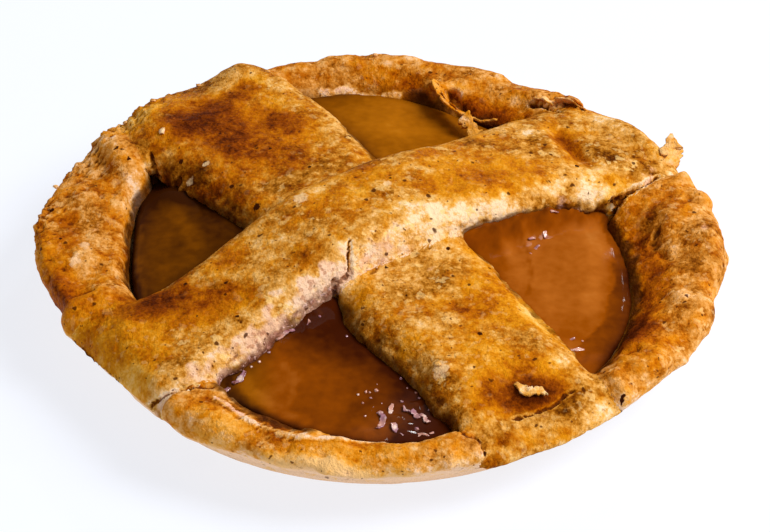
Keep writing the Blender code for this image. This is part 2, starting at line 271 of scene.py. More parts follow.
# dark cracks that stayed open, and last the gap that the torn flake left:
# (how deep, how wide, the points of the crack from above)
CRACKS = (
    (1.9, 0.5, ((30.2, 7.8), (31.4, 8.6), (32.6, 9.4))),
    (1.6, 0.4, ((32.6, 9.4), (34.0, 10.7), (35.8, 11.9), (37.5, 13.9))),
    (1.0, 0.26, ((-3.8, -8.9), (-3.8, -12.0), (-4.6, -12.8), (-5.3, -13.3), (-5.9, -13.6))),
    (0.6, 0.28, ((16.8, -35.7), (18.8, -34.8), (20.8, -33.6), (22.2, -32.8), (23.5, -31.3), (24.4, -30.8))),
    (0.5, 0.30, ((9.5, -37.2), (10.8, -39.7), (12.2, -39.9), (13.1, -41.1))),
    (0.5, 0.26, (
        (-29.2, -31.3), (-27.7, -31.5), (-26.7, -31.4), (-25.0, -31.1), (-23.1, -30.4), (-21.0, -30.2),
    )),
    (0.7, 0.32, ((-31.0, 17.2), (-29.6, 14.5), (-28.5, 13.5), (-26.8, 12.9))),
    (1.2, 0.50, ((20.8, 31.3), (22.3, 30.6), (23.8, 29.7), (24.9, 27.6))),
    (0.6, 0.9, ((36.2, 0.9), (36.6, 0.0))),
    (0.5, 0.8, ((37.2, -2.0), (37.5, -2.8))),
    (0.5, 0.6, ((36.9, 2.7), (36.6, 2.2))),
    (0.6, 0.9, ((31.6, -23.2), (32.6, -22.8))),
    (0.5, 0.7, ((34.3, -8.3), (34.2, -9.3))),
    (1.7, 1.3, ((10.2, 34.6), (11.4, 31.8), (13.4, 29.6), (16.0, 28.6), (19.4, 28.2))),
)
# no crack reaches further than this from its first point, along x or y
CRACK_REACH = 14


def cracked(p):
    """How deep the open cracks go at a point of the top."""
    deep = 0
    for depth, width, line in CRACKS:
        if abs(p.x - line[0][0]) < CRACK_REACH and abs(p.y - line[0][1]) < CRACK_REACH:
            aside = beside(p.x, p.y, line) + 0.16 * noise.noise(p / 0.8)
            deep = max(deep, depth * ease(width, 0.3 * width, aside))
    return deep


# where the outer edge is rough with crumbs: (x, y, direction, half length, half width)
ROUGH = ((-36.0, 24.5, 55, 12.0, 4.0), (-46.0, 6.0, 95, 8.0, 3.0), (26.0, 31.5, -30, 4.0, 2.5))


def rough(p):
    """The height of the crumbs that hang on the outer edge at a point."""
    there = max(spot(p.x, p.y, mark) for mark in ROUGH) * ease(8.5, 10.0, p.z)
    return there * (0.45 * noise.noise(p / 1.3 + Vector((0, 5, 0))) + 0.55 * noise.noise(p / 0.62))


# where it spreads past its solid or stays within it: (x, y, direction, half length, half width, how far out)
SWOLLEN = (
    (45.0, 6.0, 90, 8.0, 3.0, 0.8), (44.5, -9.5, 78, 5.0, 2.4, 0.3), (41.0, -20.0, 63, 6.0, 3.4, -0.6),
    (43.0, -14.5, 70, 4.0, 3.0, 0.7), (-43.5, -2.0, 90, 5.0, 3.0, 0.1), (7.8, -29.3, 20, 1.5, 1.1, 0.5),
    (-43.6, 13.4, 70, 4.0, 2.6, 0.7), (-35.4, 18.4, -55, 7.0, 2.3, 1.1),
    (-35.5, -27.0, 128, 9.0, 4.6, -0.9), (-24.5, -36.5, 152, 6.0, 3.0, 0.5),
)


def swollen(p):
    """How far the dough stands out from its solid at a point."""
    return sum(mark[5] * spot(p.x, p.y, mark) for mark in SWOLLEN)


def seam_relief(p):
    """The height of the surface where two pieces have run together, the same for both."""
    return 0.45 * crumbly(p) + 0.2 * noise.noise(p / 7) + swollen(p) + rough(p) - cracked(p)


# what each point of the baked surface stores for its material
BAKED = ("bake", "glaze", "stain", "speck", "hollow")
# nearer than the first of these to another piece, the surface is drawn to the common skin, and wholly at the
# second, in millimetres
DRAWN, JOINED = 4.2, 2.4
# a little more than the gap that the solids leave between two pieces, in millimetres
GAP_FILL = 0.34


def bake_surface(piece, body, relief, looks, names, others):
    """Draws the piece to the common skin beside the others, raises it by relief(p, n), and stores what
    looks(p, n) gives for each name, and how hollow the surface is under the last one."""
    for name in names:
        body.verts.layers.float.new(name)
    *layers, hollow = [body.verts.layers.float[name] for name in names]
    moves = []
    for vertex in body.verts:
        place, normal, shown, reached = vertex.co.copy(), vertex.normal.copy(), 1, 0
        flat = pressed(place)
        gap = gap_to(others, place) / (1 + 0.8 * flat) if others else math.inf
        if gap < DRAWN:
            place += normal * GAP_FILL * MM * ease(1.3, 0.8, gap)
            on_skin, skin_normal, _, away = skin.find_nearest(place)
            reached = ease(2.2 + 1.8 * flat, 1.5 + 1.6 * flat, away / MM) * ease(DRAWN, JOINED, gap)
            place = place.lerp(on_skin, reached)
            normal = normal.lerp(skin_normal, reached).normalized()
            shown = max(reached, 1 - ease(1.6, 0.9, gap))
        moves.append((vertex, place, normal, shown, reached))
    for vertex, place, normal, shown, reached in moves:
        height = relief(place / MM, normal)
        if reached:
            height += (seam_relief(place / MM) - height) * reached
        height *= ease(0.1, 1.0, place.z / MM)  # the base stays flat on the table
        vertex.co = place + normal * height * shown * MM
    body.normal_update()
    for vertex, _, normal, _, _ in moves:
        vertex[hollow] = hollow_of(vertex)
        for layer, value in zip(layers, looks(vertex.co / MM, normal)):
            vertex[layer] = value
    body.to_mesh(piece.data)
    body.free()
    piece.data.shade_smooth()


# single dark specks of bran and single pale bits: (x, y, radius)
SPECKS = (
    (-35.6, 17.6, 0.42), (-34.7, 17.2, 0.3), (-33.8, 15.9, 0.3), (-42.1, 0.3, 0.3), (-37.9, -2.2, 0.3),
    (-43.7, 7.0, 0.34), (-40.0, 3.6, 0.26), (-26.8, 14.7, 0.34), (-21.6, 19.9, 0.26), (-16.6, 16.8, 0.3),
    (-14.7, 16.7, 0.26), (-19.7, 9.3, 0.3), (-16.3, 4.9, 0.47), (-9.3, 12.4, 0.26), (1.5, 4.0, 0.3),
    (-6.0, -9.7, 0.26), (9.0, -5.5, 0.34), (12.9, -22.3, 0.38), (22.1, -14.8, 0.38), (13.1, -41.1, 0.26),
    (30.6, -30.8, 0.26), (-25.0, -12.8, 0.3), (-18.0, -19.6, 0.26), (-19.7, -13.5, 0.26), (1.0, -9.6, 0.26),
    (26.6, 12.6, 0.3), (3.6, -15.4, 0.26),
)
PALE_BITS = (
    (7.8, -29.3, 0.95), (-10.3, 0.1, 0.9), (1.1, 2.8, 0.6), (8.6, -2.6, 0.5), (-39.8, -4.9, 0.7),
    (-38.8, -1.2, 0.6), (-23.3, 13.5, 0.45), (-25.5, 12.4, 0.4),
)


def dotted(p):
    """1 in the middle of a dark speck, 0.5 at its edge, and the same below zero for a pale bit."""
    dark = max(1 - math.hypot(p.x - x, p.y - y) / (2 * radius) for x, y, radius in SPECKS)
    pale = max(1 - math.hypot(p.x - x, p.y - y) / (2 * radius) for x, y, radius in PALE_BITS)
    return max(0, dark) - max(0, pale)


# the places that are browner, paler or more glazed than the rest, by kind:
# (x, y, direction, half length, half width) 56 of these 78 aren't hand-made: scratch scripts fitted their
# strengths to the photograph, sorted them into kinds by those strengths and rounded them, as report.md says.
# The rest were placed or changed one by one.
# of these, the first and third burnt places (behind the torn flake, on the right rim's inside), the third
# brown glazed one (on the right rim's inside) and the first brown one (broad over the far strip) are partly
# painted shade
BURNT_AND_SHADE = (
    (15, 30.5, -30, 6, 2.5), (19.5, -32, 25, 4.5, 2), (33, -17.5, 70, 5, 2), (-29, -15.5, -10, 4.5, 3.5),
)
BROWN_GLAZED_AND_SHADE = (
    (-13.5, 23.5, -45, 4, 2), (17, -31, 30, 5, 3), (35.5, -7.5, 85, 5, 2), (-23.5, 25, 48, 9, 2.2),
    (-22, -17.5, 15, 4, 2.5), (25.5, 18.5, -62, 4.5, 1.5), (-41, -10.5, -70, 4, 1.5),
)
BROWN_DRY = (
    (-33, 19.5, -50, 3.5, 2), (-13.5, -35.5, -15, 7.5, 1), (-26.5, 13, -35, 3.5, 2.5), (36, 2, 95, 5, 2),
    (24.5, 6, 30, 3.5, 1.5), (36, 14, 35, 3, 2), (41, -5, -85, 5, 1.5), (-32, -12, 0, 2, 1.5),
    (12.5, -39.8, 60, 2, 1.2),
)
BROWN_AND_SHADE = (
    (-21, 20, -45, 14, 9), (2.5, 38, -20, 4.5, 2), (10, -17.5, -45, 2.5, 1.5), (-20.5, -14.5, 0, 2.5, 1.5),
    (-19.5, -9, 0, 2.5, 2), (-41, 2.5, 90, 4, 1.5), (5.5, 10.6, 30, 3, 1.2), (16.5, -38.7, 20, 2, 1.2),
    (-3.5, -40.7, -10, 2, 1),
)
TANNED = (
    (-19.5, 7.5, -40, 5, 2), (-8, 39.5, 10, 4.5, 2), (37.5, -17.5, 35, 4.5, 2), (33, 21, -45, 4.5, 3),
    (21.5, -34, 25, 7, 2), (44.5, -5, -85, 9, 1.5), (-16, -23, 38, 3, 1.2),
)
GLAZED_GOLD = (
    (-43, -5, -75, 7, 2), (-39, -12.5, -65, 4.5, 2), (32.5, -7, -90, 15, 3), (0, 35.5, 0, 8, 1.5),
    (-18.5, 20, -25, 6, 4), (14.5, -15, -60, 5.5, 3), (-33, -19.5, -35, 6.5, 4), (12.5, 6.5, 35, 7, 3.5),
    (14, 7.5, 35, 5, 2.5), (-29.5, -24, -15, 2, 1.5),
)
GOLDEN = (
    (-4.5, 1.5, 38, 8, 3.5), (16, -26.5, -30, 4.5, 2.5), (-3, -42, 0, 11, 2.5), (-20, -36.5, -30, 6, 2),
    (18, -17, -50, 6, 3),
)
DRY = (
    (32, 18, 35, 6, 4), (43.5, 0.5, -85, 8.5, 1.5), (-11.5, 9.5, 25, 6.5, 1.5), (-21.5, 33, 25, 4, 2),
    (6, -11, -40, 5, 4.5), (-4.5, 22, -50, 3, 1.5), (21.5, -34, 25, 7, 2), (40.5, -21, 60, 8, 1.5),
    (-38, 2.5, 90, 5, 1.5),
)
PALE_GLAZED = (
    (-31, -27.5, -45, 3, 2), (-21.5, -39.5, -30, 8, 1), (-7.5, -44, -10, 8, 1), (-33, 25, 45, 5, 2),
    (19.5, -16.5, -60, 4, 1.5),
)
PALE = (
    (23.5, -25.5, 50, 2.5, 1.5), (5, -2, 15, 4.5, 2.5), (33, 14, 30, 4, 1.5), (22, -38.5, 30, 8, 1),
    (14.5, 0.5, 35, 4, 1.5), (-33, 12, -80, 3, 1.5), (-7, -14.5, 40, 3.5, 1.5), (30.5, 25.5, -40, 4, 2),
    (28, -32.5, 40, 3, 1.5), (11, 35.3, -60, 1.5, 1.2), (-16.3, 33.1, -50, 3, 1.2),
    (-30.8, 15.1, -50, 2, 1.2), (20.7, 19.7, 30, 3, 1),
)
# each kind with how much more it has baked, and how much more glaze lies on it
BROWNING = (
    (BURNT_AND_SHADE, 0.45, 1.5), (BROWN_GLAZED_AND_SHADE, 0.25, 1.6), (BROWN_DRY, 0.30, -0.4), (BROWN_AND_SHADE, 0.23, 0.4),
    (TANNED, 0.13, -0.1), (GLAZED_GOLD, 0.03, 1.5), (GOLDEN, -0.12, 0.5), (DRY, 0.0, -0.5),
    (PALE_GLAZED, -0.35, 1.2), (PALE, -0.32, -0.2),
)
# the bake and the glaze everywhere else
BAKE, GLAZE = 0.51, 0.45
# a place is left out of the sum from this many half lengths away
MARK_REACH = 2.6


def browned(p):
    """The bake and the glaze of a point."""
    bake, glaze = BAKE, GLAZE
    for places, more_bake, more_glaze in BROWNING:
        for mark in places:
            if abs(p.x - mark[0]) + abs(p.y - mark[1]) < MARK_REACH * mark[3]:
                shows = spot(p.x, p.y, mark)
                bake += shows * more_bake
                glaze += shows * more_glaze
    return bake + 0.08 * noise.noise(p / 8), max(glaze, 0)


def soaked(p):
    """How much jam has soaked into the pastry at a point."""
    return ease(2.6, 1.4, gap_to((FILLING,), p * MM) + 1.1 * noise.noise(p / 1.6))


class Wire:
    """A socket of a material's nodes. Arithmetic on it adds the Math nodes."""

    def __init__(self, socket):
        self.socket = socket

    def node(self, kind, settings, values, output=0):
        """Adds a node of that type, with its settings first, then the value or wire of each of its sockets."""
        tree = self.socket.id_data
        made = tree.nodes.new(kind)
        for name, value in settings.items():
            if name == "stops":
                ramp = made.color_ramp
                while len(ramp.elements) < len(value):
                    ramp.elements.new(0.5)
                for stop, (place, colour) in zip(ramp.elements, value):
                    stop.position = place
                    stop.color = (*colour, 1)
            else:
                setattr(made, name, value)
        for name, value in values.items():
            if isinstance(value, Wire):
                tree.links.new(value.socket, made.inputs[name])
            else:
                made.inputs[name].default_value = value
        return Wire(made.outputs[output])

    def maths(self, operation, a, b):
        return self.node("ShaderNodeMath", {"operation": operation}, {0: a, 1: b})

    def __add__(self, other):
        return self.maths("ADD", self, other)

    def __sub__(self, other):
        return self.maths("SUBTRACT", self, other)

    def __rsub__(self, other):
        return self.maths("SUBTRACT", other, self)

    def __mul__(self, other):
        return self.maths("MULTIPLY", self, other)

    __radd__ = __add__
    __rmul__ = __mul__

    def between(self, low, high):
        """0 at low, 1 at high and a smooth step between them, either way round."""
        values = {"Value": self, "From Min": low, "From Max": high}
        return self.node("ShaderNodeMapRange", {"interpolation_type": "SMOOTHSTEP"}, values)

    def ramp(self, stops):
        """The colour of a ramp at this place in it."""
        return self.node("ShaderNodeValToRGB", {"stops": stops}, {0: self})

    def from_to(self, low, high):
        """The colour low where this is 0, and high where it is 1."""
        values = {"Factor": self, 6: (*low, 1), 7: (*high, 1)}
        return self.node("ShaderNodeMix", {"data_type": "RGBA"}, values, 2)

    def tinted(self, share, colour):
        """This colour, mixed with another by a share."""
        values = {"Factor": share, 6: self, 7: colour if isinstance(colour, Wire) else (*colour, 1)}
        return self.node("ShaderNodeMix", {"data_type": "RGBA"}, values, 2)

    def multiplied(self, colour):
        """This colour times another."""
        settings = {"data_type": "RGBA", "blend_type": "MULTIPLY"}
        return self.node("ShaderNodeMix", settings, {"Factor": 1, 6: self, 7: (*colour, 1)}, 2)

    def bumps(self, strength, depth):
        """The normal of a surface with this as its height."""
        values = {"Strength": strength, "Distance": depth * MM, "Height": self}
        return self.node("ShaderNodeBump", {}, values)

    def feeds(self, shader, name):
        """Links this to a socket of the shader."""
        self.socket.id_data.links.new(self.socket, shader.inputs[name])


def new_finish(name):
    """A material, its shader and its surface's place in millimetres."""
    finish = bpy.data.materials.new(name)
    finish.use_nodes = True
    shader = finish.node_tree.nodes["Principled BSDF"]
    place = Wire(finish.node_tree.nodes.new("ShaderNodeTexCoord").outputs["Object"])
    place = place.node("ShaderNodeVectorMath", {"operation": "SCALE"}, {0: place, "Scale": 1 / MM})
    return finish, shader, place


def stored(place, name):
    """What the surface stores under a name."""
    return place.node("ShaderNodeAttribute", {"attribute_name": name}, {}, 2)


def grain(place, size, detail=2.0, output=0):
    """Noise from 0 to 1 with blobs of about that many millimetres, or its colour as output 1."""
    values = {"Vector": place, "Scale": 1 / size, "Detail": detail}
    return place.node("ShaderNodeTexNoise", {}, values, output)


def uneven(place, size, detail, amount):
    """The same noise about zero, times an amount."""
    return (grain(place, size, detail) - 0.5) * amount


def flecks(place, spacing, radius, share):
    """1 inside flecks that lie about spacing apart, in the share of the places that have one."""
    bend = grain(place, 1.3, 1.0, 1)
    bent = place.node("ShaderNodeVectorMath", {"operation": "SCALE"}, {0: bend, "Scale": 1.1})
    bent = place.node("ShaderNodeVectorMath", {"operation": "ADD"}, {0: place, 1: bent})
    cells = {"Vector": bent, "Scale": 1 / spacing}
    distance = place.node("ShaderNodeTexVoronoi", {}, cells)
    chance = place.node("ShaderNodeTexVoronoi", {}, cells, 1)
    chance = chance.node("ShaderNodeSeparateColor", {}, {0: chance})
    inside = distance.between(radius / spacing, 0.6 * radius / spacing)
    return inside * chance.between(1 - share, 1.02 - share)


# from pale dough to dark brown, on dry crumb and on the egg glaze
CRUMB = (
    (0.0, (0.94, 0.68, 0.41)), (0.2, (0.82, 0.44, 0.13)), (0.4, (0.64, 0.28, 0.042)),
    (0.6, (0.39, 0.133, 0.007)), (0.8, (0.18, 0.048, 0.001)), (1.0, (0.07, 0.014, 0.001)),
)
GLAZED = (
    (0.0, (0.92, 0.58, 0.20)), (0.2, (0.82, 0.39, 0.045)), (0.4, (0.67, 0.24, 0.004)),
    (0.6, (0.47, 0.125, 0.0005)), (0.8, (0.24, 0.045, 0.0003)), (1.0, (0.08, 0.011, 0.0002)),
)
# the browning's mottle: (size in millimetres, detail, how strong)
MOTTLE = ((5.9, 3.0, 0.75), (2.3, 3.0, 0.75), (0.95, 3.0, 0.6), (0.36, 2.0, 0.45))
# paler crumb on the browned top, and the raw dough of cut and torn places with the darker spots in it
CREAM, RAW, RAW_SPOT = (0.92, 0.58, 0.20), (0.90, 0.57, 0.40), (0.42, 0.13, 0.045)
# freckles, painted shade in the hollows, large and small flecks of bran, single specks and single pale bits
FRECKLE, PIT_SHADE = (0.26, 0.066, 0.004), (0.15, 0.036, 0.004)
BRAN, FINE_BRAN = (0.070, 0.012, 0.001), (0.11, 0.024, 0.003)
SPECK, PALE_BIT = (0.045, 0.008, 0.001), (0.92, 0.64, 0.34)
# crust and raw dough with jam soaked in, from wet to dried, and pale pink painted highlights on the soaked raw
# dough
SOAKED = ((0.050, 0.010, 0.001), (0.12, 0.030, 0.004))
SOAKED_RAW = ((0.16, 0.045, 0.025), (0.48, 0.22, 0.17))
PINK_GLINT = (0.72, 0.46, 0.42)
# the faint gloss of baked dough is warm
WARM = (1.0, 0.55, 0.18, 1)


def crust_finish(name, bran, cast):
    """Baked crust, browned by the surface's own bake, with patches of egg glaze, freckles, bran specks and
    painted shade in its hollows. The share of places with a fleck of bran, and the cast that multiplies its
    colour, are the piece's own."""
    finish, shader, place = new_finish(name)
    bake, glaze, stain, speck, hollow = [stored(place, layer) for layer in BAKED]
    # the hollows count as more deeply baked: painted shade
    mottle = hollow * 1.5
    for size, detail, strength in MOTTLE:
        mottle = mottle + uneven(place, size, detail, strength)
    mottle = mottle + mottle * mottle * 0.5 - 0.04
    patches = uneven(place, 3.8, 4.0, 2.2) + uneven(place, 1.15, 3.0, 1.4)
    share = (glaze + patches).between(0.1, 0.9) * bake.between(-0.2, 0.0)
    depth = bake + mottle * bake.between(-0.25, 0.1) * (1.25 - share * 0.45)
    colour = depth.ramp(CRUMB).tinted(share, depth.ramp(GLAZED))
    cream = grain(place, 1.25, 2.5).between(0.58, 0.64) * bake.between(0.85, 0.3)
    colour = colour.tinted(cream * (0.72 - share * 0.45), CREAM)
    raw = (glaze + uneven(place, 1.9, 3.0, 1.3)).between(-0.1, -0.5) * bake.between(-0.2, 0.0)
    colour = colour.tinted(raw * 0.7, RAW)
    colour = colour.tinted(raw * grain(place, 0.9, 3.0).between(0.55, 0.62) * 0.6, RAW_SPOT)
    freckles = grain(place, 0.5, 2.0).between(0.58, 0.65) * grain(place, 4.2, 2.0).between(0.52, 0.64)
    colour = colour.tinted(freckles * (0.60 - share * 0.35), FRECKLE)
    # painted shade in the hollows
    colour = colour.tinted(hollow.between(0.04, 0.14) * 0.7, PIT_SHADE)
    colour = colour.tinted(flecks(place, 2.7, 0.38, bran) * 0.9, BRAN)
    colour = colour.tinted(flecks(place, 1.25, 0.21, bran * 0.7) * 0.85, FINE_BRAN)
    ragged = speck + uneven(place, 0.7, 3.0, 1.1)
    colour = colour.tinted(ragged.between(0.42, 0.58), SPECK)
    colour = colour.tinted(ragged.between(-0.38, -0.62) * 0.6, PALE_BIT)
    colour = colour.multiplied(cast)
    dried = grain(place, 0.8, 3.0).between(0.5, 0.7)
    soak = dried.from_to(*SOAKED).tinted(raw, dried.from_to(*SOAKED_RAW))
    # painted highlights: pale pink glints on the wet, soaked raw dough
    soak = soak.tinted(raw * grain(place, 0.6, 2.0).between(0.58, 0.64), PINK_GLINT)
    colour.tinted(stain * 0.93, soak).feeds(shader, "Base Color")
    (0.78 - 0.24 * share - 0.30 * stain).feeds(shader, "Roughness")
    (grain(place, 0.55, 3.0) + grain(place, 0.16, 2.0) * 0.4).bumps(0.8, 0.4).feeds(shader, "Normal")
    shader.inputs["Specular IOR Level"].default_value = 0.04
    shader.inputs["Specular Tint"].default_value = WARM
    return finish


# the pale torn lip of the rim beside the jam at the front, and a painted highlight along the jam's edge on the
# back rim, from above
LIPS_AND_HIGHLIGHT = (
    (
        (-20.6, -32.4), (-18.7, -33.9), (-16.0, -36.8), (-13.2, -38.3), (-10.1, -40.1), (-4.2, -40.2),
        (2.7, -38.8),
    ),
    ((-8.0, 37.6), (-4.8, 37.9), (2.9, 36.7)),
)
# and where the jam has boiled up over the rim inside the front one
BOILED_UP = ((-20.0, -29.6), (-18.0, -31.8), (-15.0, -34.9), (-12.2, -36.9), (-8.6, -38.7))


def lip_and_highlight(p):
    """1 on the pale torn lip and on the painted highlight, and 0 beside them."""
    return max(ease(0.6, 0.2, beside(p.x, p.y, line) + 0.4 * noise.noise(p / 1.4)) for line in LIPS_AND_HIGHLIGHT)


def on_wall(p, top, foot):
    """1 on the wall that the mould left smooth, which ends between those heights, and 0 elsewhere."""
    return ease(top, foot, p.z) * ease(31, 36, math.hypot(p.x, p.y))


def rim_relief(p, n):
    """The lumpy rim, on a smooth wall and a smooth inside that the jam covers."""
    wall = on_wall(p, 9.2, 7.4)
    inside = ease(31.5, 29, math.hypot(p.x, p.y))
    left = ease(-20, -36, p.x)
    lumps = 0.68 * crumbly(p) + 0.30 * noise.noise(p / 6.5 + Vector((3, 0, 8)))
    sunk = 0.05 + 0.4 * left * (1 - pressed(p * MM)) + cracked(p)
    return lumps * (1 - 0.85 * wall) * (1 - inside) + swollen(p) + rough(p) + 0.25 * lip_and_highlight(p) - sunk


def rim_looks(p, n):
    """The wall has baked less. The outside just above it is lighter at the right and the front: partly a paler
    bake, partly painted light from the lamp at the right. The torn lip is pale, a painted highlight runs along
    the jam's edge at the back, and the jam has stained the rim's inside.
    """
    wall = on_wall(p, 9.0, 7.6)
    # lighter outside at the right and the front: partly a paler bake, partly painted light
    outside = ease(11.2, 8.8, p.z) * ease(39, 43, math.hypot(p.x, p.y)) * ease(-30, -12, p.x)
    bake, glaze = browned(p)
    bake -= 0.22 * outside + 0.32 * lip_and_highlight(p)
    glaze -= 0.8 * lip_and_highlight(p)
    stain = soaked(p) * (1 - 0.65 * ease(26, 30, p.y) * ease(6, 2, p.x)) * (1 - lip_and_highlight(p))
    stain = max(stain, 0.9 * ease(1.1, 0.5, beside(p.x, p.y, BOILED_UP) + 0.5 * noise.noise(p / 1.1)))
    return bake * (1 - wall) - 0.3 * wall, glaze * (1 - wall), stain * (1 - wall), dotted(p) * (1 - wall)


case, case_body = evened("baked_case", joined_copy([CASE]), cell=0.45, settling=4, without=TORN_FLAKE[2:])
bake_surface(case, case_body, rim_relief, rim_looks, BAKED, (UNDER, OVER))
case.data.materials.append(crust_finish("baked_crust", bran=0.45, cast=(1.0, 0.905, 0.93)))
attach(case, "root")
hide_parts("pastry_case")


# ---- The strip underneath ----------------------------------------------------------------------------------
# A broad strip of the same dough, rolled out and cut with a knife, laid across the jam first. Its ends are
# pressed into the rim, where fingers left a crease at the back and a deep pit at the front that baked dark.

# the size of the little quads of the strips, finer than the case's, in millimetres
STRIP_CELL = 0.34


def strip_relief(p, n):
    """Crumb that is lower on top than on the sides, over a foot that spreads on the jam."""
    top = ease(0.35, 0.8, n.z)
    foot = ease(13.5, 11.0, p.z) * ease(0.5, 0.2, abs(n.z)) * ease(37, 34, math.hypot(p.x, p.y))
    lumps = crumbly(p) * (0.85 - 0.5 * top) + 0.22 * noise.noise(p / 8)
    return lumps + 0.12 + 0.7 * foot + swollen(p) + rough(p) - cracked(p)


def side_soaked(p, n):
    """How much jam has soaked into a strip, which is also wet low on its sides."""
    low = ease(0.30, 0.0, n.z + 0.3 * noise.noise(p / 0.9)) * ease(37, 35, math.hypot(p.x, p.y))
    return max(soaked(p), 0.8 * low)


def under_looks(p, n):
    """The strip's sides are a little darker than its top: painted shade."""
    bake, glaze = browned(p)
    return bake + 0.08 * ease(0.75, 0.3, n.z), glaze, 0.75 * side_soaked(p, n), dotted(p)


under, under_body = evened("strip_underneath", joined_copy([UNDER]), cell=STRIP_CELL, settling=4)
bake_surface(under, under_body, strip_relief, under_looks, BAKED, (CASE, OVER))
under.data.materials.append(crust_finish("baked_strip", bran=0.62, cast=(1.0, 1.0, 1.0)))
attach(under, "root")
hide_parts("lattice_strip_under")


# ---- The strip on top --------------------------------------------------------------------------------------
# The second strip is laid across the first, so it humps over the crossing. Its front side is the knife's cut:
# pale, open crumb, with jam soaked in where it touches. The dough tore a little where it bends down.

def cut_side(p, n):
    """1 on the side that faces the front right, and 0 on the top and the other sides."""
    return ease(0.82, 0.45, n.z) * ease(0.05, 0.35, 0.5976 * n.x - 0.8018 * n.y)


def over_looks(p, n):
    """The cut side and a ragged border of the top beside it have stayed pale, and raw towards the left."""
    pale = max(cut_side(p, n), ease(2.8, 0.6, behind_edge(p) + 2.0 * noise.noise(p / 1.9)))
    pale *= 0.85 + 0.45 * noise.noise(p / 2.6)
    low = cut_side(p, n) * ease(0.45, 0.0, n.z)
    bake, glaze = browned(p)
    raw = 0.95 - 0.7 * ease(-12, 6, along_top(p))
    return bake - 0.31 * pale + 0.2 * low, glaze - raw * pale, side_soaked(p, n), dotted(p)


over_copy = joined_copy([OVER])
over, over_body = evened("strip_on_top", over_copy, cell=STRIP_CELL, settling=4, without=END_FLAKE[1:])
bake_surface(over, over_body, strip_relief, over_looks, BAKED, (CASE, UNDER))
over.data.materials.append(under.data.materials[0])
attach(over, "root")
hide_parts("lattice_strip_over")


# ---- The jam -----------------------------------------------------------------------------------------------
# Apricot jam, spooned in before the strips go on. It boils up against the pastry and sets under a thin glossy
# skin, golden in the left and back openings and puckered where it boiled over. Its colour holds painted light
# and
# shade: painted shade beside the pastry and under the strips, painted light where light comes through it, and
# a painted reflection of the rim at the right.

# from dark jam to light, in the front and right openings and in the golden ones
AMBER_JAM = (
    (0.00, (0.045, 0.007, 0.001)), (0.25, (0.130, 0.026, 0.001)), (0.50, (0.260, 0.056, 0.001)),
    (0.75, (0.395, 0.108, 0.010)), (1.00, (0.540, 0.200, 0.035)),
)
GOLDEN_JAM = (
    (0.00, (0.040, 0.009, 0.001)), (0.25, (0.125, 0.034, 0.001)), (0.50, (0.240, 0.068, 0.001)),
    (0.75, (0.390, 0.120, 0.003)), (1.00, (0.560, 0.220, 0.014)),
)
# the jam's lighter and darker parts, partly its own tone and partly painted light and shade: lighter where
# light comes through it, darker where the strips and the rim shade it: (x, y, reach, how light)
JAM_TONES = (
    (1, 31, 6, 0.72), (-7, 33, 5, 0.42), (9, 28, 4, 0.58), (2, 22, 5, 0.55), (21, 3, 5, 0.62),
    (26, -3, 5, 0.62), (25, -13, 6, 0.62), (31, -6, 3, 0.45), (30, -16, 4, 0.50), (23, -21, 3, 0.75),
    (16, 0, 3, 0.50), (-27, 2, 6, 0.28), (-22, 4, 4, 0.10), (-31, 5, 4, 0.20), (-28.3, 12.8, 2.2, -0.1),
    (-4, -16, 3, -0.05), (-30, -9, 5, 0.26), (-14, -28, 6, 0.52), (-5, -32, 6, 0.36), (4, -28, 4, -0.04),
    (-4, -19, 5, 0.02), (7, -37, 4, -0.04), (-8, -38, 5, 0.48), (-16, -34, 3, 0.30),
)
# lighter and darker swirls: (change of tone, half width, the points of the swirl from above)
SWIRLS = (
    (0.16, 1.7, ((-29.0, 11.8), (-25.6, 5.5), (-24.4, 1.2))),
    (0.12, 0.5, ((-32.0, 6.8), (-31.8, -1.8), (-30.5, -9.0))),
    (0.18, 1.3, ((-16.8, -26.2), (-16.4, -28.2), (-15.1, -29.9), (-11.7, -33.2), (-9.0, -34.6))),
    (0.13, 0.9, ((-11.9, -24.3), (-10.6, -27.2), (-11.2, -31.3))),
    (0.12, 1.6, ((16.8, 0.5), (17.7, -2.0), (18.3, -5.0))),
    (-0.22, 1.3, ((-19.0, -27.5), (-17.6, -30.0), (-14.6, -34.0), (-11.0, -37.0), (-6.0, -38.6))),
    (-0.13, 0.45, ((18.6, 1.5), (19.7, 0.4), (20.1, -5.0), (19.4, -9.3))),
    (0.10, 2.0, ((28.5, 6.0), (29.0, -4.0), (27.0, -12.0))),
)
# where the right opening's darker border begins, a painted reflection of the rim's dark inside: (y, x)
RIGHT_BAND = (
    (-22, 23.5), (-19, 25.7), (-16, 27.7), (-13.5, 29.2), (-10.6, 29.7), (-5.9, 31.0), (-1.5, 31.1),
    (3, 30.6), (7.5, 30.0),
)
# puckers: (x, y, direction, half length, half width, height)
PUCKERS = (
    (4.0, -34, 55, 6.0, 3.4, 1.0), (0.5, -37, 10, 4.5, 1.8, 0.8), (21.5, 3.0, 62, 4.4, 1.2, 0.9),
    (27, -21.6, 20, 3.4, 0.9, 0.6), (-10, -14, 45, 4.0, 1.5, 0.6),
)
# how high the jam climbs to the top strip's cut side: (millimetres along the strip, height)
CLIMB = (
    (-36, 0.5), (-28.7, 0.8), (-16.6, 1.6), (-8, 2.0), (6, 3.6), (13.4, 4.3), (20.3, 3.9), (25, 3.0),
    (29, 1.2), (33, 0.3),
)
# where it stands up in the far corner of the left opening, and by how much
LEFT_CORNER, CORNER_HEIGHT = (-27.5, 12.5, 0, 3.5, 2.5), 1.4
# how far the jam spreads past its solid to meet the pastry, and how wide its still middle is, in millimetres
SPREAD, MIDDLE = 0.55, 10


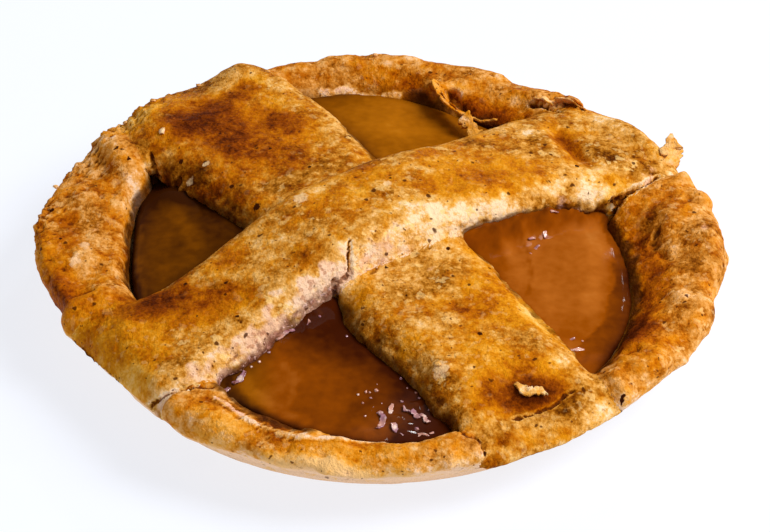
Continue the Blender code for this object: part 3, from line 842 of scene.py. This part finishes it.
def pucker(p):
    """How strongly the skin is puckered at a point."""
    return min(1, sum(mark[5] * spot(p.x, p.y, mark) for mark in PUCKERS))


def climbing(p):
    """1 where the jam has climbed up to the top strip's cut side, and 0 out on the flat."""
    behind = behind_edge(p)
    ragged = 0.6 * noise.noise(Vector((p.x, p.y, 0)) / 1.8)
    return ease(-3.0, 0.4, behind + ragged) ** 1.5 * ease(6.0, 4.0, behind)


def jam_relief(p, n):
    """A faintly uneven skin, drawn up at the pastry and folded where it puckered."""
    edge = math.exp(-gap_to(PASTRY, p * MM) / 0.9) * ease(0.3, 0.8, n.z)
    drawn_up = (0.5 - 0.3 * ease(20, 26, p.x)) * edge
    folds = abs(noise.noise(Vector((p.x * 0.42, p.y * 0.42, 3)))) + 0.6 * noise.noise(p / 1.1)
    climb = climbing(p) * level(CLIMB, along_top(p)) + CORNER_HEIGHT * spot(p.x, p.y, LEFT_CORNER)
    return 0.22 + 0.12 * noise.noise(p / 5) + drawn_up + 0.62 * pucker(p) * folds + climb


def jam_looks(p, n):
    """How light the jam is, with painted light, shade and reflection in it, how golden, and how wet its skin
    looks.
    """
    weights = [
        math.exp(-((p.x - x) ** 2 + (p.y - y) ** 2) / reach**2) + 1e-9 for x, y, reach, _ in JAM_TONES
    ]
    tone = sum(weight * mark[3] for weight, mark in zip(weights, JAM_TONES)) / sum(weights)
    for change, width, line in SWIRLS:
        tone += change * ease(width, 0.2 * width, beside(p.x, p.y, line) + 0.4 * noise.noise(p / 1.3))
    climb = climbing(p)
    # the jam that climbs under the top strip takes one tone: painted shade in the front opening
    climbed = (0.0 if p.x < 10 else 0.34) + 0.25 * noise.noise(p / 0.9)
    tone += (climbed - tone) * climb
    # painted reflection of the rim's dark inside: darker beyond the right opening's border
    if p.x > 12:
        ragged = 0.5 * noise.noise(p / 1.5) + 0.3 * noise.noise(p / 0.6)
        tone -= 0.19 * ease(-0.15, 0.2, p.x - level(RIGHT_BAND, p.y) + ragged)
    # painted shade beside the pastry, wider and deeper at the left, where the rim overhangs the jam
    left = ease(-18, -24, p.x)
    edge = math.exp(-gap_to(PASTRY, p * MM) / (0.9 + 0.6 * left)) * (1 + 0.3 * left)
    golden = max(ease(-12, -17, p.x), ease(14, 20, p.y))
    wet = max(0.12 * edge, 0.3 * pucker(p)) * (1 - ease(0.02, 0.2, climb))
    return tone - 0.3 * edge * (1 - climb), golden, wet


jam, jam_body = evened("set_jam", joined_copy([FILLING]), cell=0.42, settling=14)
for vertex in jam_body.verts:
    reach = max(math.hypot(vertex.co.x, vertex.co.y), MIDDLE * MM)
    vertex.co.x *= 1 + SPREAD * MM / reach
    vertex.co.y *= 1 + SPREAD * MM / reach
bake_surface(jam, jam_body, jam_relief, jam_looks, ("tone", "golden", "wet", "hollow"), ())
finish, shader, place = new_finish("apricot_jam")
wet = stored(place, "wet")
tone = stored(place, "tone") + uneven(place, 6.0, 3.0, 0.45) + uneven(place, 1.5, 3.0, 0.22)
tone.ramp(AMBER_JAM).tinted(stored(place, "golden"), tone.ramp(GOLDEN_JAM)).feeds(shader, "Base Color")
(wet * 0.95 + 0.01).feeds(shader, "Coat Weight")
(0.58 - wet * 0.42).feeds(shader, "Roughness")
(grain(place, 0.9, 2.0) * wet * 0.8 + grain(place, 3.0, 2.0) * 0.12).bumps(0.7, 0.5).feeds(shader, "Normal")
shader.inputs["Specular IOR Level"].default_value = 0.0
shader.inputs["Coat Roughness"].default_value = 0.06
jam.data.materials.append(finish)
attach(jam, "root")
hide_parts("jam_filling")


# ---- The flakes and crumbs ---------------------------------------------------------------------------------
# Where the dough was torn or the bake lifted it, thin flakes stand off the rim and the strips, and a few chips
# and crumbs lie on top. All are the same crust, baked a little lighter or darker; the torn flake and the
# lifted crust are paler and more golden partly as painted light shining through them.

def surface_of(pieces):
    """The surface that those pieces make together."""
    body = bmesh.new()
    for piece in pieces:
        body.from_mesh(piece.data)
    return BVHTree.FromBMesh(body)


def height_of(surface, x, y):
    """The surface's highest place at x, y, in millimetres."""
    return surface.ray_cast(Vector((x, y, 40)) * MM, Vector((0, 0, -1)))[0].z / MM


def ribbon(body, path, widths, thickness, lean, seed):
    """A ragged flake along a path, with its half width at each point, leaning so many degrees from flat."""
    steps = 8 * (len(path) - 1)
    made = bmesh.ops.create_grid(body, x_segments=steps, y_segments=8, size=0.5)["verts"]
    turn = math.radians(lean)
    for vertex in made:
        share = (vertex.co.x + 0.5) * (len(path) - 1)
        k = min(int(share), len(path) - 2)
        middle = Vector(path[k]).lerp(Vector(path[k + 1]), share - k)
        ahead = (Vector(path[k + 1]) - Vector(path[k])).normalized()
        side = ahead.cross((0, 0, 1)).normalized() if abs(ahead.z) < 0.7 else Vector((0.8, 0.6, 0.0))
        up = side.cross(ahead)
        width = widths[k] + (widths[k + 1] - widths[k]) * (share - k)
        edge = Vector((share * 1.7, math.copysign(3, vertex.co.y), seed))
        ragged = 1 + 0.7 * noise.noise(edge) + 0.5 * noise.noise(edge * 3.1)
        across = 2 * vertex.co.y * width * ragged
        curl = 0.5 * noise.noise(middle / 2.6 + Vector((0, 0, seed)))
        curl += 0.3 * noise.noise((middle + side * across) / 0.9)
        vertex.co = (middle + (side * math.cos(turn) + up * math.sin(turn)) * across + up * curl) * MM
    faces = list(dict.fromkeys(face for vertex in made for face in vertex.link_faces))
    bmesh.ops.solidify(body, geom=faces, thickness=thickness * MM)


def lump(body, place, size, seed):
    """A crumb: a little ball with those half sizes (x, y, z), knocked out of round."""
    made = bmesh.ops.create_icosphere(body, subdivisions=2, radius=1.0)["verts"]
    for vertex in made:
        shape = vertex.co * (1 + 0.8 * noise.noise(vertex.co * 1.3 + Vector((seed * 7.3, seed, 0))))
        vertex.co = (Vector(place) + Vector([a * b for a, b in zip(shape, size)])) * MM


def finished_bit(name, body, bake, glaze, look):
    """The piece of a bmesh, with the same bake and glaze all over it."""
    bmesh.ops.recalc_face_normals(body, faces=body.faces)
    for layer_name, value in zip(BAKED, (bake, glaze, 0, 0, 0)):
        layer = body.verts.layers.float.new(layer_name)
        for vertex in body.verts:
            vertex[layer] = value
    made = new_piece(name, body)
    made.data.shade_smooth()
    made.data.materials.append(look)
    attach(made, "root")


# the sliver that peeled off the rim's inside at the back, with a second layer beside its middle
torn = bmesh.new()
outer = [(x, y, z + 0.4) for x, y, z in TORN_FLAKE]
inner = [(x + 0.5, y + 0.6, z - 0.3) for x, y, z in TORN_FLAKE[1:6]]
ribbon(torn, outer, (0.7, 1.0, 0.9, 0.8, 0.7, 0.8, 0.6, 0.3), thickness=0.35, lean=35, seed=4.0)
ribbon(torn, inner, (0.6, 0.9, 1.0, 0.8, 0.4), thickness=0.35, lean=60, seed=9.0)
# paler and more golden than the rim: partly painted light shining through the thin sliver
finished_bit("torn_flake", torn, 0.36, 0.9, case.data.materials[0])

# a crumb that stands on the jam at the sliver's end
STUB = ((13.4, 25.6, 11.6), (12.5, 26.4, 12.6), (11.4, 27.2, 13.4))
stub = bmesh.new()
ribbon(stub, STUB, (1.0, 0.8, 1.0), thickness=0.4, lean=35, seed=2.0)
finished_bit("crumb_stub", stub, 0.30, 0.6, case.data.materials[0])

# the rim's torn end beyond the top strip: (the path, the half widths, the lean, the seed)
LIFTED = (
    (
        ((23.6, 31.2, 13.0), (25.2, 30.6, 13.9), (26.8, 30.0, 13.9), (28.6, 28.9, 13.5)),
        (0.6, 1.0, 1.1, 0.5), 50, 3.0,
    ),
    (((25.6, 31.4, 12.8), (26.8, 31.0, 13.6), (28.2, 30.0, 13.4)), (0.5, 0.8, 0.5), 65, 7.0),
    (((21.6, 31.9, 13.4), (22.8, 31.0, 13.9), (24.0, 30.0, 13.6)), (0.4, 0.7, 0.4), 30, 5.0),
)
lifted = bmesh.new()
for path, widths, lean, seed in LIFTED:
    ribbon(lifted, path, widths, 0.3, lean, seed)
# paler than the rim: partly painted light shining through the thin crust
finished_bit("lifted_crust", lifted, 0.16, 0.7, case.data.materials[0])

# crumbs that hang on the rim's outside at the back and the left: (x, y, z, half size)
HANGING = (
    (-37.4, 22.6, 12.5, 0.42), (-34.8, 25.9, 13.3, 0.5), (-31.2, 29.9, 14.1, 0.4), (-25.6, 35.0, 14.6, 0.35),
    (-43.4, 13.0, 11.4, 0.42), (-15.6, 35.2, 15.4, 0.36), (-0.6, 42.6, 13.2, 0.4),
)
crumbs = bmesh.new()
for x, y, z, size in HANGING:
    seat, normal, _, _ = skin.find_nearest(Vector((x, y, z)) * MM)
    lump(crumbs, seat / MM + normal * 0.1, (size, size * 0.7, size * 0.5), x)
finished_bit("loose_crumbs", crumbs, 0.24, 0.3, case.data.materials[0])

# the thin flake that stands at the top strip's right end
UPRIGHT = ((39.2, 17.2, 11.4), (39.7, 17.9, 12.8), (39.8, 18.9, 13.9), (39.7, 20.4, 15.2))
end = bmesh.new()
ribbon(end, UPRIGHT, (1.3, 1.7, 1.3, 0.2), thickness=0.3, lean=0, seed=6.0)
finished_bit("end_flake", end, 0.16, 0.8, case.data.materials[0])

# a flake in the browned pit of the under strip, from above, and two pale chips: (x, y, half sizes, seed)
PIT_FLAKE = ((17.2, -31.0), (18.2, -31.9), (19.4, -32.0), (20.8, -31.4))
CHIPS = ((-29.5, 20.4, (0.42, 0.72, 0.35), 4.0), (7.4, -28.8, (0.45, 0.5, 0.3), 3.0))
pastry_top = surface_of((case, under, over))
chips = bmesh.new()
lying = [(x, y, height_of(pastry_top, x, y) + 0.45) for x, y in PIT_FLAKE]
ribbon(chips, lying, (0.35, 0.75, 0.6, 0.95), thickness=0.3, lean=0, seed=PIT_FLAKE[0][0])
for x, y, size, seed in CHIPS:
    lump(chips, (x, y, height_of(pastry_top, x, y) + 0.1), size, seed)
finished_bit("pale_chips", chips, 0.34, 0.2, under.data.materials[0])


# ---- The boiled jam ----------------------------------------------------------------------------------------
# Where the jam boiled over at the front it dried into folds of clear skin and small bubbles, and a few more
# stand on the right opening and along the cut edge. They are the same jam, coloured as painted highlights:
# pale lilac and rosy glints of light on the wet skin.

# the folds: (the points from above, the half widths)
FOLDS = (
    (((-0.8, -32.7), (0.0, -33.4), (0.6, -34.4), (0.4, -35.5), (-0.1, -36.5)), (0.25, 0.32, 0.36, 0.30, 0.34)),
    (((1.7, -32.2), (1.5, -33.0), (1.4, -34.0)), (0.16, 0.30, 0.20)),
    (((4.1, -33.4), (4.7, -33.9), (5.0, -34.6)), (0.40, 0.45, 0.25)),
    (((5.1, -33.6), (5.7, -34.5), (6.2, -35.3)), (0.18, 0.30, 0.30)),
    (((4.4, -37.5), (5.6, -37.1), (6.9, -37.1)), (0.20, 0.40, 0.30)),
    (((1.7, -35.7), (2.2, -36.9), (3.2, -37.6)), (0.35, 0.35, 0.25)),
    (((3.1, -32.5), (3.3, -33.2), (3.9, -33.6)), (0.10, 0.14, 0.10)),
    (((22.8, 4.7), (23.8, 5.4)), (0.26, 0.22)),
    (((21.8, 4.1), (22.0, 3.2), (22.1, 2.5)), (0.16, 0.26, 0.22)),
    (((19.8, 1.2), (20.7, 2.0)), (0.12, 0.12)),
    (((20.1, -0.7), (20.6, 0.3), (21.2, 1.0)), (0.28, 0.20, 0.16)),
    (((24.0, -20.6), (25.2, -19.9), (26.4, -19.6), (27.8, -19.2)), (0.12, 0.2, 0.2, 0.1)),
    (((23.6, -18.2), (25.2, -17.8)), (0.10, 0.12)),
    (((-13.0, -20.9), (-12.0, -19.8), (-10.8, -18.9)), (0.2, 0.3, 0.2)),
    (((-9.9, -17.9), (-8.9, -17.2)), (0.22, 0.25)),
    (((-18.4, -27.4), (-17.5, -26.4), (-16.9, -25.4)), (0.25, 0.35, 0.2)),
    (((-19.6, -28.6), (-18.9, -28.0)), (0.35, 0.3)),
)
# the bubbles: (x, y, radius)
BUBBLES = (
    (2.8, -27.2, 0.22), (-1.6, -29.8, 0.22), (-1.1, -29.9, 0.14), (-0.3, -29.6, 0.26), (-1.0, -30.9, 0.2),
    (-2.0, -31.8, 0.16), (-2.6, -30.3, 0.18), (4.7, -30.1, 0.18), (5.1, -30.8, 0.2), (2.9, -31.6, 0.18),
    (4.7, -36.3, 0.3), (-1.7, -34.1, 0.16), (-4.1, -19.3, 0.18), (-0.2, -28.4, 0.1), (3.6, -29.0, 0.12),
    (6.3, -32.9, 0.14), (0.4, -31.9, 0.1), (-15.2, -23.7, 0.2), (-14.0, -22.4, 0.22), (-16.2, -24.6, 0.18),
    (-7.6, -16.3, 0.2), (26.2, -18.0, 0.14),
)
# the painted highlights' colours, lilac to rosy, and their paler glints and darker places
LILAC, ROSY = (0.34, 0.15, 0.19), (0.62, 0.30, 0.22)
PALE_GLINT, DARK_SKIN = (0.85, 0.62, 0.52), (0.20, 0.05, 0.03)

jam_top = surface_of((jam,))
froth = bmesh.new()
for path, widths in FOLDS:
    lying = [(x, y, height_of(jam_top, x, y) + 0.12) for x, y in path]
    ribbon(froth, lying, widths, thickness=0.2, lean=0, seed=path[0][0])
for x, y, radius in BUBBLES:
    lump(froth, (x, y, height_of(jam_top, x, y)), (radius, radius, radius * 0.8), x)
bmesh.ops.recalc_face_normals(froth, faces=froth.faces)
boiled = new_piece("boiled_jam", froth)
boiled.data.shade_smooth()
finish, shader, place = new_finish("boiled_jam_painted_glints")
pale = uneven(place, 0.9, 2.0, 2.2) + 0.5
lilac = grain(place, 2.6, 1.0).between(0.42, 0.58).from_to(LILAC, ROSY)
colour = lilac.tinted(pale.between(0.55, 0.95), PALE_GLINT)
colour.tinted(pale.between(0.35, 0.05), DARK_SKIN).feeds(shader, "Base Color")
(grain(place, 1.2, 2.0).between(0.3, 0.7) * 0.25 + 0.15).feeds(shader, "Roughness")
shader.inputs["Coat Weight"].default_value = 0.6
shader.inputs["Coat Roughness"].default_value = 0.08
boiled.data.materials.append(finish)
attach(boiled, "root")


# ---- The table, the light and the camera -------------------------------------------------------------------
# A plain white table that glows a little, as a lit studio table does, a broad soft lamp at the right, a small
# one behind for the sparkle on the jam, and an even, dim room.

TABLE_SIZE = 3.0
TABLE_COLOUR, TABLE_GLOW, GLOW_STRENGTH = (0.21, 0.225, 0.26, 1), (0.925, 0.945, 1.0, 1), 0.80
ROOM_COLOUR, ROOM_STRENGTH = (0.97, 0.98, 1.0, 1), 0.375

table_body = bmesh.new()
bmesh.ops.create_grid(table_body, x_segments=1, y_segments=1, size=TABLE_SIZE)
table = new_piece("table", table_body)
table_white = bpy.data.materials.new("table_white")
table_white.use_nodes = True
table_shader = table_white.node_tree.nodes["Principled BSDF"]
table_shader.inputs["Base Color"].default_value = TABLE_COLOUR
table_shader.inputs["Roughness"].default_value = 0.9
table_shader.inputs["Specular IOR Level"].default_value = 0
table_shader.inputs["Emission Color"].default_value = TABLE_GLOW
table_shader.inputs["Emission Strength"].default_value = GLOW_STRENGTH
table.data.materials.append(table_white)

room = bpy.data.worlds.new("room")
room.use_nodes = True
room.node_tree.nodes["Background"].inputs["Color"].default_value = ROOM_COLOUR
room.node_tree.nodes["Background"].inputs["Strength"].default_value = ROOM_STRENGTH
bpy.context.scene.world = room


def lamp(name, aim, distance, size, power):
    """A square soft lamp in the direction aim, turned to the tart, in metres and watts."""
    light = bpy.data.lights.new(name, "AREA")
    light.size = size
    light.energy = power
    made = bpy.data.objects.new(name, light)
    made.location = Vector(aim).normalized() * distance
    made.rotation_euler = Vector(aim).to_track_quat("Z", "Y").to_euler()
    bpy.context.scene.collection.objects.link(made)


lamp("key_lamp", (0.75, -0.15, 0.85), distance=0.7, size=0.34, power=5.2)
lamp("sparkle_lamp", (0.35, 0.75, 0.55), distance=0.7, size=0.05, power=0.6)

# the camera looks down at this angle, from this far in front of a place in the tart, in degrees and metres
ELEVATION, DISTANCE, LOOKED_AT = 36.5, 0.5, (0.0008, -0.0002, 0.008)

lens = bpy.data.cameras.new("camera")
lens.sensor_width = 36
lens.lens = 176.2
lens.clip_start = 0.01
camera = bpy.data.objects.new("camera", lens)
elevation = math.radians(ELEVATION)
back = Vector((0, -math.cos(elevation), math.sin(elevation)))
camera.location = Vector(LOOKED_AT) + back * DISTANCE
camera.rotation_euler = back.to_track_quat("Z", "Y").to_euler()
bpy.context.scene.collection.objects.link(camera)
bpy.context.scene.camera = camera
bpy.context.scene.view_settings.view_transform = "Standard"
